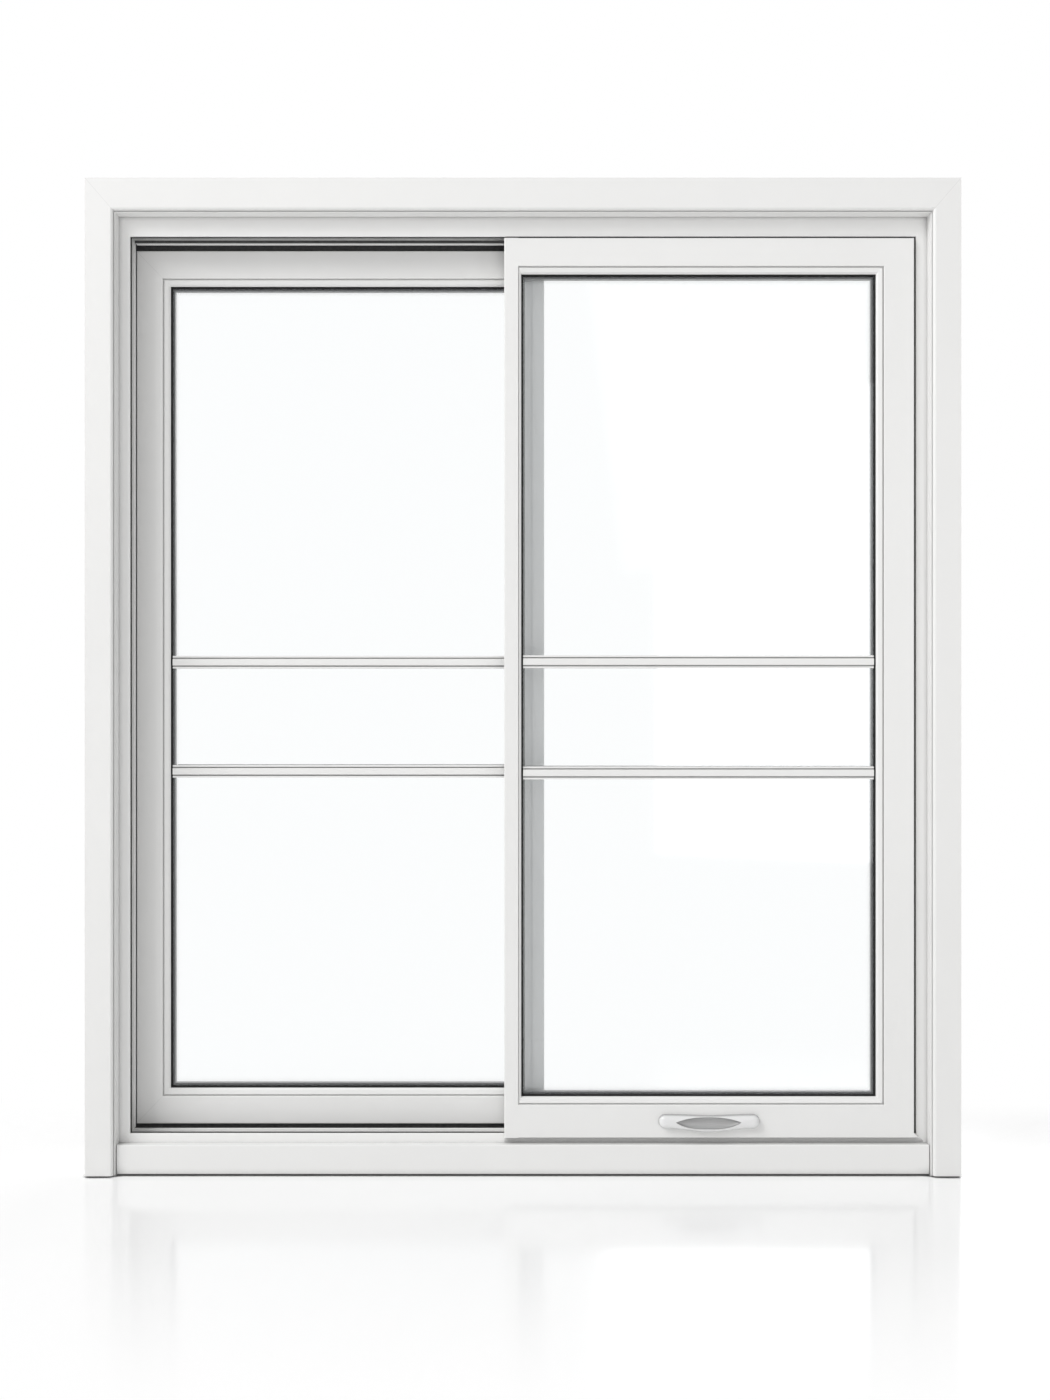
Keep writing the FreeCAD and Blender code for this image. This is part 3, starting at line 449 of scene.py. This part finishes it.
def clear_glass():
    """Mostly see-through, with a mirror that grows towards the edge of vision."""
    recipe = Recipe("clear_glass")
    coordinates, _ = recipe.place()
    ripple = recipe.noise(coordinates, 3.0, 1.0)
    facing = recipe.node("ShaderNodeLayerWeight", inputs={"Blend": 0.18}, output="Fresnel")
    through = recipe.node("ShaderNodeBsdfTransparent", inputs={"Color": (0.997, 0.998, 0.997, 1.0)})
    mirror = recipe.node("ShaderNodeBsdfPrincipled", inputs={
        "Base Color": (0.95, 0.98, 1.0, 1.0), "Roughness": 0.02 + 0.02 * ripple,
        "Metallic": 1.0, "IOR": 1.5,
    })
    share = MIRROR_SHARE + MIRROR_GROWTH * facing
    mix = recipe.node("ShaderNodeMixShader", inputs={0: share, 1: through, 2: mirror})
    return recipe.finish(mix)


glass = clear_glass()
print("glass:", glass.name)

# %% [markdown]
# ## Who wears what
#
# Rails lie level and stiles stand upright, so the name of a piece is enough
# to choose its finish. Only the material slots of the solids are changed.

# %% Hand out the finishes
def finish_for(name):
    """The material of a piece, told from its name."""
    if "pane" in name:
        return glass
    if name.endswith("gasket_back"):
        return back_rubber
    if "gasket" in name or "lip_seal" in name:
        return rubber
    if "bars" in name:
        return bar_plastic
    if name == "frame_sill":
        return sill_plastic
    if name == "sill_board":
        return board_plastic
    if "spacer" in name:
        return spacer_metal
    if name.endswith("track"):
        return track_metal
    if "rollers" in name:
        return nylon
    if "pile" in name:
        return pile
    level_words = ("head", "rail", "top", "bottom", "pull")
    word = "level" if any(w in name for w in level_words) else "upright"
    family = "casing" if name.startswith("casing") else "frame"
    for side in ("front_sash", "rear_sash"):
        if name.startswith(side):
            family = side
    if name in ("front_sash_meeting_stile", "front_sash_bead_left"):
        family = "meeting"
    return plastic[family, word]


for name, node in nodes.items():
    node.data.materials.clear()
    node.data.materials.append(finish_for(name))
    for polygon in node.data.polygons:
        polygon.material_index = 0
print("finished pieces:", len(nodes))

# %% [markdown]
# ## The finger pull
#
# The pull is a small painted casting. Its outline is a bar with round ends
# whose top dips a little and whose lower edge hangs down in the middle, and
# a pointed dish for the fingertips is pressed into it. It could be sculpted,
# or cut from a block with rounded edges, but that shape is simply a height
# above the sash for every place on the bar, so it is written as one surface:
# one number runs along the bar and the other runs round its section, out
# over the front and back along the flat side on the sash.

# %% Sizes of the finger pull
low, high = [np.array(corner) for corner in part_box("front_sash_pull")]
SASH_FACE = float(high[1])
PULL_SHIFT = -0.0004
PULL_MIDDLE_X = float(low[0] + high[0]) / 2 + PULL_SHIFT
PULL_MIDDLE_Z = 0.0642
PULL_HALF = 0.0612
PULL_RADIUS = 0.0084
PULL_PROUD = 0.0079
DISH_HALF = 0.0397
DISH_RISE = 0.0072
DISH_DEPTH = 0.0058
DISH_DROP = 0.0017
DISH_SHIFT = -0.0009
EDGE_LINE = 0.0010
TOP_DIP, DIP_WIDTH = 0.0015, 0.030
HANG, HANG_WIDTH = 0.0048, 0.031
LENS_POWER, BULGE_FLAT, BULGE_ROUND = 3.0, 3.2, 0.42
print("pull middle:", PULL_MIDDLE_X, SASH_FACE, PULL_MIDDLE_Z)

# %% [markdown]
# ## From numbers to a mesh
#
# A computed surface is an array of points, ring after ring. Each point is
# joined to its neighbour in the ring and to the same point of the next ring,
# which gives four-cornered faces all the way. Corners sharper than the angle
# below stay sharp, and everything else is shaded smooth.

# %% From an array of rings to a mesh
SHARP = math.radians(50)


def mesh_from_grid(name, points, closed=False):
    """A tube of quads from an array of rings, closed on itself or capped at its ends."""
    rings, around, _ = points.shape
    index = np.arange(rings * around).reshape(rings, around)
    if closed:
        index = np.vstack([index, index[:1]])
    nxt = np.roll(index, -1, axis=1)
    quads = np.stack([index[:-1], nxt[:-1], nxt[1:], index[1:]], axis=-1).reshape(-1, 4)
    faces = quads.tolist()
    if not closed:
        faces += [index[0][::-1].tolist(), index[-1].tolist()]
    mesh = bpy.data.meshes.new(name)
    mesh.from_pydata(points.reshape(-1, 3).tolist(), [], faces)
    mesh.shade_smooth()
    mesh.set_sharp_from_angle(angle=SHARP)
    thing = bpy.data.objects.new(name, mesh)
    bpy.context.scene.collection.objects.link(thing)
    return thing


# %% Finger pull as one computed surface
def pull_surface(along=260, rows=26):
    """Rings of the pull, how far each point lies inside the dish, and how much painted shade it takes
    near the edge.

    Lower and upper edge follow the round ends, plus a Gaussian that hangs the
    middle down and dips the top. Between the edges the height is a rounded
    bulge, and inside the dish a lens-shaped hollow is taken off. The rows of
    points follow the rim of the dish, so that the rim stays sharp. Nearness to
    the edge is a Gaussian of the distance to the outline.
    """
    turn = np.linspace(-1, 1, along)
    x = PULL_HALF * np.sin(turn * math.pi / 2)
    past = np.clip((np.abs(x) - (PULL_HALF - PULL_RADIUS)) / PULL_RADIUS, 0, 1)
    end = np.sqrt(np.clip(1 - past ** 2, 0.0004, 1))
    upper = end * (PULL_RADIUS - TOP_DIP * np.exp(-((x / DIP_WIDTH) ** 2)))
    lower = -end * (PULL_RADIUS + HANG * np.exp(-((x / HANG_WIDTH) ** 2)))
    lens = np.clip(1 - np.abs((x - DISH_SHIFT) / DISH_HALF) ** LENS_POWER, 0, 1)
    rim = np.maximum(DISH_RISE * lens, 0.0003 * end)
    middle = -DISH_DROP * end * (0.25 + 0.75 * lens)

    share = np.linspace(0, 1, rows)[:, None]
    below = lower + (middle - rim - lower) * share
    inside = middle - rim + 2 * rim * share[1:]
    above = middle + rim + (upper - middle - rim) * share[1:]
    z = np.concatenate([below, inside, above])
    across = (z - lower) / (upper - lower)
    round_off = np.clip(1 - np.abs(2 * across - 1) ** BULGE_FLAT, 0, 1) ** BULGE_ROUND
    bulge = PULL_PROUD * end ** 0.7 * round_off
    reach = np.clip(1 - ((z - middle) / np.maximum(rim, 1e-6)) ** 2, 0, 1)
    hollow = DISH_DEPTH * np.sqrt(reach) * lens ** 0.5
    height = np.maximum(bulge - hollow, 0.0006 * end)
    height[0] = height[-1] = 0.0
    # Nearness to the outline, which sets the painted shade along the edge.
    to_edge = np.minimum(np.minimum(z - lower, upper - z), PULL_HALF - np.abs(x))
    painted_edge_shade = np.exp(-((to_edge / EDGE_LINE) ** 2))

    back = np.linspace(0, 1, 8)[1:-1, None]
    back_z = upper + (lower - upper) * back
    z = np.concatenate([z, back_z])
    height = np.concatenate([height, np.zeros_like(back_z)])
    in_dish = np.concatenate([hollow / DISH_DEPTH, np.zeros_like(back_z)])
    painted_edge_shade = np.concatenate([painted_edge_shade, np.ones_like(back_z)])
    points = np.stack([
        PULL_MIDDLE_X + np.broadcast_to(x, z.shape),
        SASH_FACE - height,
        PULL_MIDDLE_Z + z,
    ], axis=-1)
    return points.transpose(1, 0, 2), {"dish": in_dish.T, "edge": painted_edge_shade.T}


# %% [markdown]
# ## Paint on the pull
#
# The casting is sprayed white, and the floor of the dish is left as brushed
# metal. Along its outline, where the pull meets the sash, a thin line of shade
# is painted in. The surface already knows where its dish and its edge are, so
# both are stored on its points as numbers from nought to one, and the paint reads them.

# %% Paint and brushed dish
def painted_pull():
    """White paint, a grey brushed floor in the dish and painted shade where it meets the sash."""
    recipe = Recipe("pull_paint")
    coordinates, _ = recipe.place()
    dish = recipe.node("ShaderNodeAttribute", {"attribute_name": "dish"}, output="Fac")
    inside = recipe.ramp(dish, 0.02, 0.30)
    brushed = recipe.noise(recipe.stretch(coordinates, (60.0, 60.0, 2600.0)), 1.0, 3.0)
    speck = recipe.noise(coordinates, 1800.0, 2.0)
    floor_colour = recipe.blend(brushed, grey(0.30), grey(0.46))
    # Painted shade along the outline of the pull, where it meets the sash.
    edge = 0.66 * recipe.node("ShaderNodeAttribute", {"attribute_name": "edge"}, output="Fac")
    colour = recipe.blend(inside, grey(0.76), floor_colour)
    colour = recipe.blend(edge, colour, grey(0.15))
    relief = inside * brushed + 0.05 * speck
    inputs = {
        "Base Color": colour, "Roughness": 0.24 + 0.06 * speck + 0.10 * inside,
        "Metallic": 0.35 * inside, "Normal": recipe.bump(relief, 0.18, 0.00006),
        "Coat Weight": 0.4 - 0.3 * inside, "Coat Roughness": 0.08,
    }
    return recipe.finish(recipe.node("ShaderNodeBsdfPrincipled", inputs=inputs))


points, marks = pull_surface()
pull = mesh_from_grid("finger_pull", points)
for mark_name, values in marks.items():
    mark = pull.data.attributes.new(mark_name, "FLOAT", "POINT")
    mark.data.foreach_set("value", values.reshape(-1).astype(np.float32))
pull.data.materials.append(painted_pull())
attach(pull, "root")
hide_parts("front_sash_pull")
print("pull points:", len(pull.data.vertices), "size:", np.ptp(points.reshape(-1, 3), axis=0))

# %% [markdown]
# ## Rubber lips round the glass
#
# On a real window the gasket that shows is a soft lip, pressed against the
# glass and rounded over towards the bead. The solid has a square edge there.
# The section below is drawn once, as depths and distances past the bead, and
# every point of it runs round the glass as a rectangle, so the corners come
# out mitred as the real strips are cut.

# %% Gaskets with rounded lips
def daylight(side):
    """Left, right, bottom and top of the glass that shows between the beads."""
    boxes = {k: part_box("%s_sash_bead_%s" % (side, k)) for k in ("left", "right", "bottom", "top")}
    return (
        float(boxes["left"][1][0]), float(boxes["right"][0][0]),
        float(boxes["bottom"][1][2]), float(boxes["top"][0][2]),
    )


def lip_section(show, base, height, towards, steps=9):
    """Section of a gasket: a flat foot under the bead and a quarter round that shows.

    The foot lies on the glass at depth base. The lip rises by height towards
    the bead and falls back to the glass along a superellipse, over a width of
    show, which is the distance that it reaches past the bead. Each point has
    a mark for hanging from the edge of the daylight instead of the foot's, a
    distance inwards from that edge, and a depth.
    """
    turn = np.linspace(0, math.pi / 2, steps)
    inward = np.append(show * np.sin(turn) ** 0.5, [FOOT_INSET, FOOT_INSET])
    rise = np.append(height * np.cos(turn) ** 0.5, [0.0, FOOT_SHARE * height])
    return np.arange(steps + 2) < steps, inward, base + towards * rise


def rectangle_ring(light, foot, section):
    """Points of a section at the four corners of the glass, as rings in order."""
    at_light, inward, depth = section
    left, right, bottom, top = np.where(at_light[:, None], light, foot).T
    x = np.stack([left + inward, right - inward, right - inward, left + inward])
    z = np.stack([bottom + inward, bottom + inward, top - inward, top - inward])
    return np.stack([x, np.broadcast_to(depth, x.shape), z], axis=-1)


FOOT_INSET, FOOT_SHARE = 0.0003, 0.5
LIP_SHOW, LIP_HEIGHT = 0.0022, 0.0027
BACK_SHOW, BACK_HEIGHT = 0.0020, 0.0009
for side in ("front", "rear"):
    for face, show, height, towards, skin in (
        ("front", LIP_SHOW, LIP_HEIGHT, -1.0, rubber),
        ("back", BACK_SHOW, BACK_HEIGHT, 1.0, back_rubber),
    ):
        node = "%s_sash_gasket_%s" % (side, face)
        low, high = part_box(node)
        glass_face = float(high[1] if towards < 0 else low[1])
        foot = (float(low[0]), float(high[0]), float(low[2]), float(high[2]))
        section = lip_section(show, glass_face, height, towards)
        points = rectangle_ring(daylight(side), foot, section)
        lip = mesh_from_grid("%s_%s_lip" % (side, face), points, closed=True)
        lip.data.materials.append(skin)
        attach(lip, "root")
        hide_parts(node)
        print(lip.name, "faces:", len(lip.data.polygons))

# %% [markdown]
# ## The room
#
# The window stands on a polished white floor that runs into a white
# background. The floor is a large sheet that reflects a little, so that the
# feet of the window fade away below it. Near the window it is lit like any
# other surface and keeps the shadow, and where it meets the window a dark
# contact shade is painted into its colour. Further off it turns into plain
# white, but only for rays that look at it, so it adds no light to the window.

# %% Floor
CONTACT_REACH, CONTACT_START, CONTACT_FULL = 0.010, 0.24, 0.46
FADE_BEHIND, FADE_BEFORE, FADE_BESIDE = (0.06, 0.34), (0.16, 0.80), (0.56, 0.80)
LEAST_PLAIN = 0.12
FLOOR_GLOW = 0.03
FLOOR_HALF = 9


def sheet(name, corners):
    """A flat four-cornered piece."""
    mesh = bpy.data.meshes.new(name)
    mesh.from_pydata(corners, [], [(0, 1, 2, 3)])
    thing = bpy.data.objects.new(name, mesh)
    bpy.context.scene.collection.objects.link(thing)
    return thing


def polished_floor():
    """White and a little shiny near the window, with painted contact shade at its feet, and plain
    white further off.
    """
    recipe = Recipe("polished_floor")
    coordinates, (x, y, z) = recipe.place()
    waves = recipe.noise(coordinates, 1.2, 2.0)
    # Painted contact shade: where the window walls the floor in, its colour darkens towards black.
    under = recipe.ramp(recipe.covered(CONTACT_REACH), CONTACT_START, CONTACT_FULL)
    white = recipe.blend(waves, grey(0.93), grey(0.95))
    inputs = {
        "Base Color": recipe.blend(under, white, grey(0.05)), "Roughness": 0.10 + 0.04 * waves,
        "Specular IOR Level": 0.9, "Emission Color": grey(1.0), "Emission Strength": FLOOR_GLOW,
    }
    polished = recipe.node("ShaderNodeBsdfPrincipled", inputs=inputs)
    plain = recipe.node("ShaderNodeEmission", inputs={"Color": grey(1.0), "Strength": 1.0})
    behind = recipe.ramp(y, *FADE_BEHIND)
    before = recipe.ramp(-y, *FADE_BEFORE)
    beside = recipe.ramp(x.math("ABSOLUTE"), *FADE_BESIDE)
    share = behind.math("MAXIMUM", before).math("MAXIMUM", beside).math("MAXIMUM", LEAST_PLAIN)
    straight = recipe.node("ShaderNodeLightPath", output="Is Camera Ray")
    for way in ("Is Glossy Ray", "Is Transmission Ray"):
        straight = straight.math("MAXIMUM", recipe.node("ShaderNodeLightPath", output=way))
    share = share * (1.0 - under) * straight
    return recipe.finish(recipe.node("ShaderNodeMixShader", inputs={0: share, 1: polished, 2: plain}))


half = FLOOR_HALF
floor = sheet("floor", [(-half, -half, 0), (half, -half, 0), (half, half, 0), (-half, half, 0)])
floor.data.materials.append(polished_floor())
print("floor:", floor.dimensions[:])

# %% [markdown]
# ## The air around
#
# All round the window is an even white. A white this strong would wash out the
# channels if it also lit them, so there are two skies: a dimmer one that lights
# the window, and a white one for rays that come straight from the camera, off a
# mirror or through glass.

# %% World
LIGHTING_SKY, SEEN_SKY = 0.50, 1.0
world = bpy.data.worlds.new("white_room")
bpy.context.scene.world = world
world.use_nodes = True
tree = world.node_tree
tree.nodes.clear()
skies = []
for strength in (LIGHTING_SKY, SEEN_SKY):
    sky = tree.nodes.new("ShaderNodeBackground")
    sky.inputs["Color"].default_value = grey(1.0)
    sky.inputs["Strength"].default_value = strength
    skies.append(sky)
rays = tree.nodes.new("ShaderNodeLightPath")
seen = rays.outputs["Is Camera Ray"]
for way in ("Is Glossy Ray", "Is Transmission Ray"):
    either = tree.nodes.new("ShaderNodeMath")
    either.operation = "MAXIMUM"
    tree.links.new(seen, either.inputs[0])
    tree.links.new(rays.outputs[way], either.inputs[1])
    seen = either.outputs[0]
choose = tree.nodes.new("ShaderNodeMixShader")
tree.links.new(seen, choose.inputs[0])
tree.links.new(skies[0].outputs[0], choose.inputs[1])
tree.links.new(skies[1].outputs[0], choose.inputs[2])
sky_output = tree.nodes.new("ShaderNodeOutputWorld")
tree.links.new(choose.outputs[0], sky_output.inputs["Surface"])
print("world nodes:", len(tree.nodes))

# %% [markdown]
# ## Light
#
# A broad lamp from the upper left makes the shading inside the channels: its
# size keeps the edges of the shadows soft. A weak one from the front right
# opens the darkest corners, and one from behind lights the back, which the
# first two never reach.

# %% Lamps
AIM = (0.0, 0.0, 0.6)


def lamp(name, size, place, power):
    """A flat lamp that points at the middle of the window."""
    data = bpy.data.lights.new(name, "AREA")
    data.shape = "RECTANGLE"
    data.size, data.size_y = size
    data.energy = power
    thing = bpy.data.objects.new(name, data)
    thing.location = place
    direction = np.array(AIM) - np.array(place)
    flat = math.hypot(direction[0], direction[1])
    thing.rotation_euler = (
        math.atan2(flat, -direction[2]), 0.0, math.atan2(direction[1], direction[0]) - math.pi / 2
    )
    bpy.context.scene.collection.objects.link(thing)
    return thing


for lamp_name, size, place, power in (
    ("key", (3.0, 3.0), (-4.0, -2.9, 4.7), 262.0),
    ("fill", (3.0, 2.0), (1.8, -3.4, 0.6), 16.0),
    ("back", (2.5, 2.5), (1.4, 3.8, 2.2), 30.0),
):
    print(lamp(lamp_name, size, place, power).name, power, "watts")

# %% [markdown]
# ## The camera
#
# The view looks straight at the window from two metres away, at half its
# height. The lens is a little long, and shifted by one part in a hundred: a
# shift moves the picture without tilting the camera, so uprights stay upright.

# %% Camera
PICTURE_HEIGHT = 1400
SHIFT_RIGHT, SHIFT_UP = 2, -14
lens = bpy.data.cameras.new("camera")
lens.lens = 45.0
lens.sensor_width = 36.0
lens.shift_x = SHIFT_RIGHT / PICTURE_HEIGHT
lens.shift_y = SHIFT_UP / PICTURE_HEIGHT
camera = bpy.data.objects.new("camera", lens)
camera.location = (0.0, -2.147, 0.590)
camera.rotation_euler = (math.pi / 2, 0.0, 0.0)
bpy.context.scene.collection.objects.link(camera)
bpy.context.scene.camera = camera
bpy.context.scene.view_settings.view_transform = "Standard"
print("camera:", camera.location[:], "lens:", lens.lens)
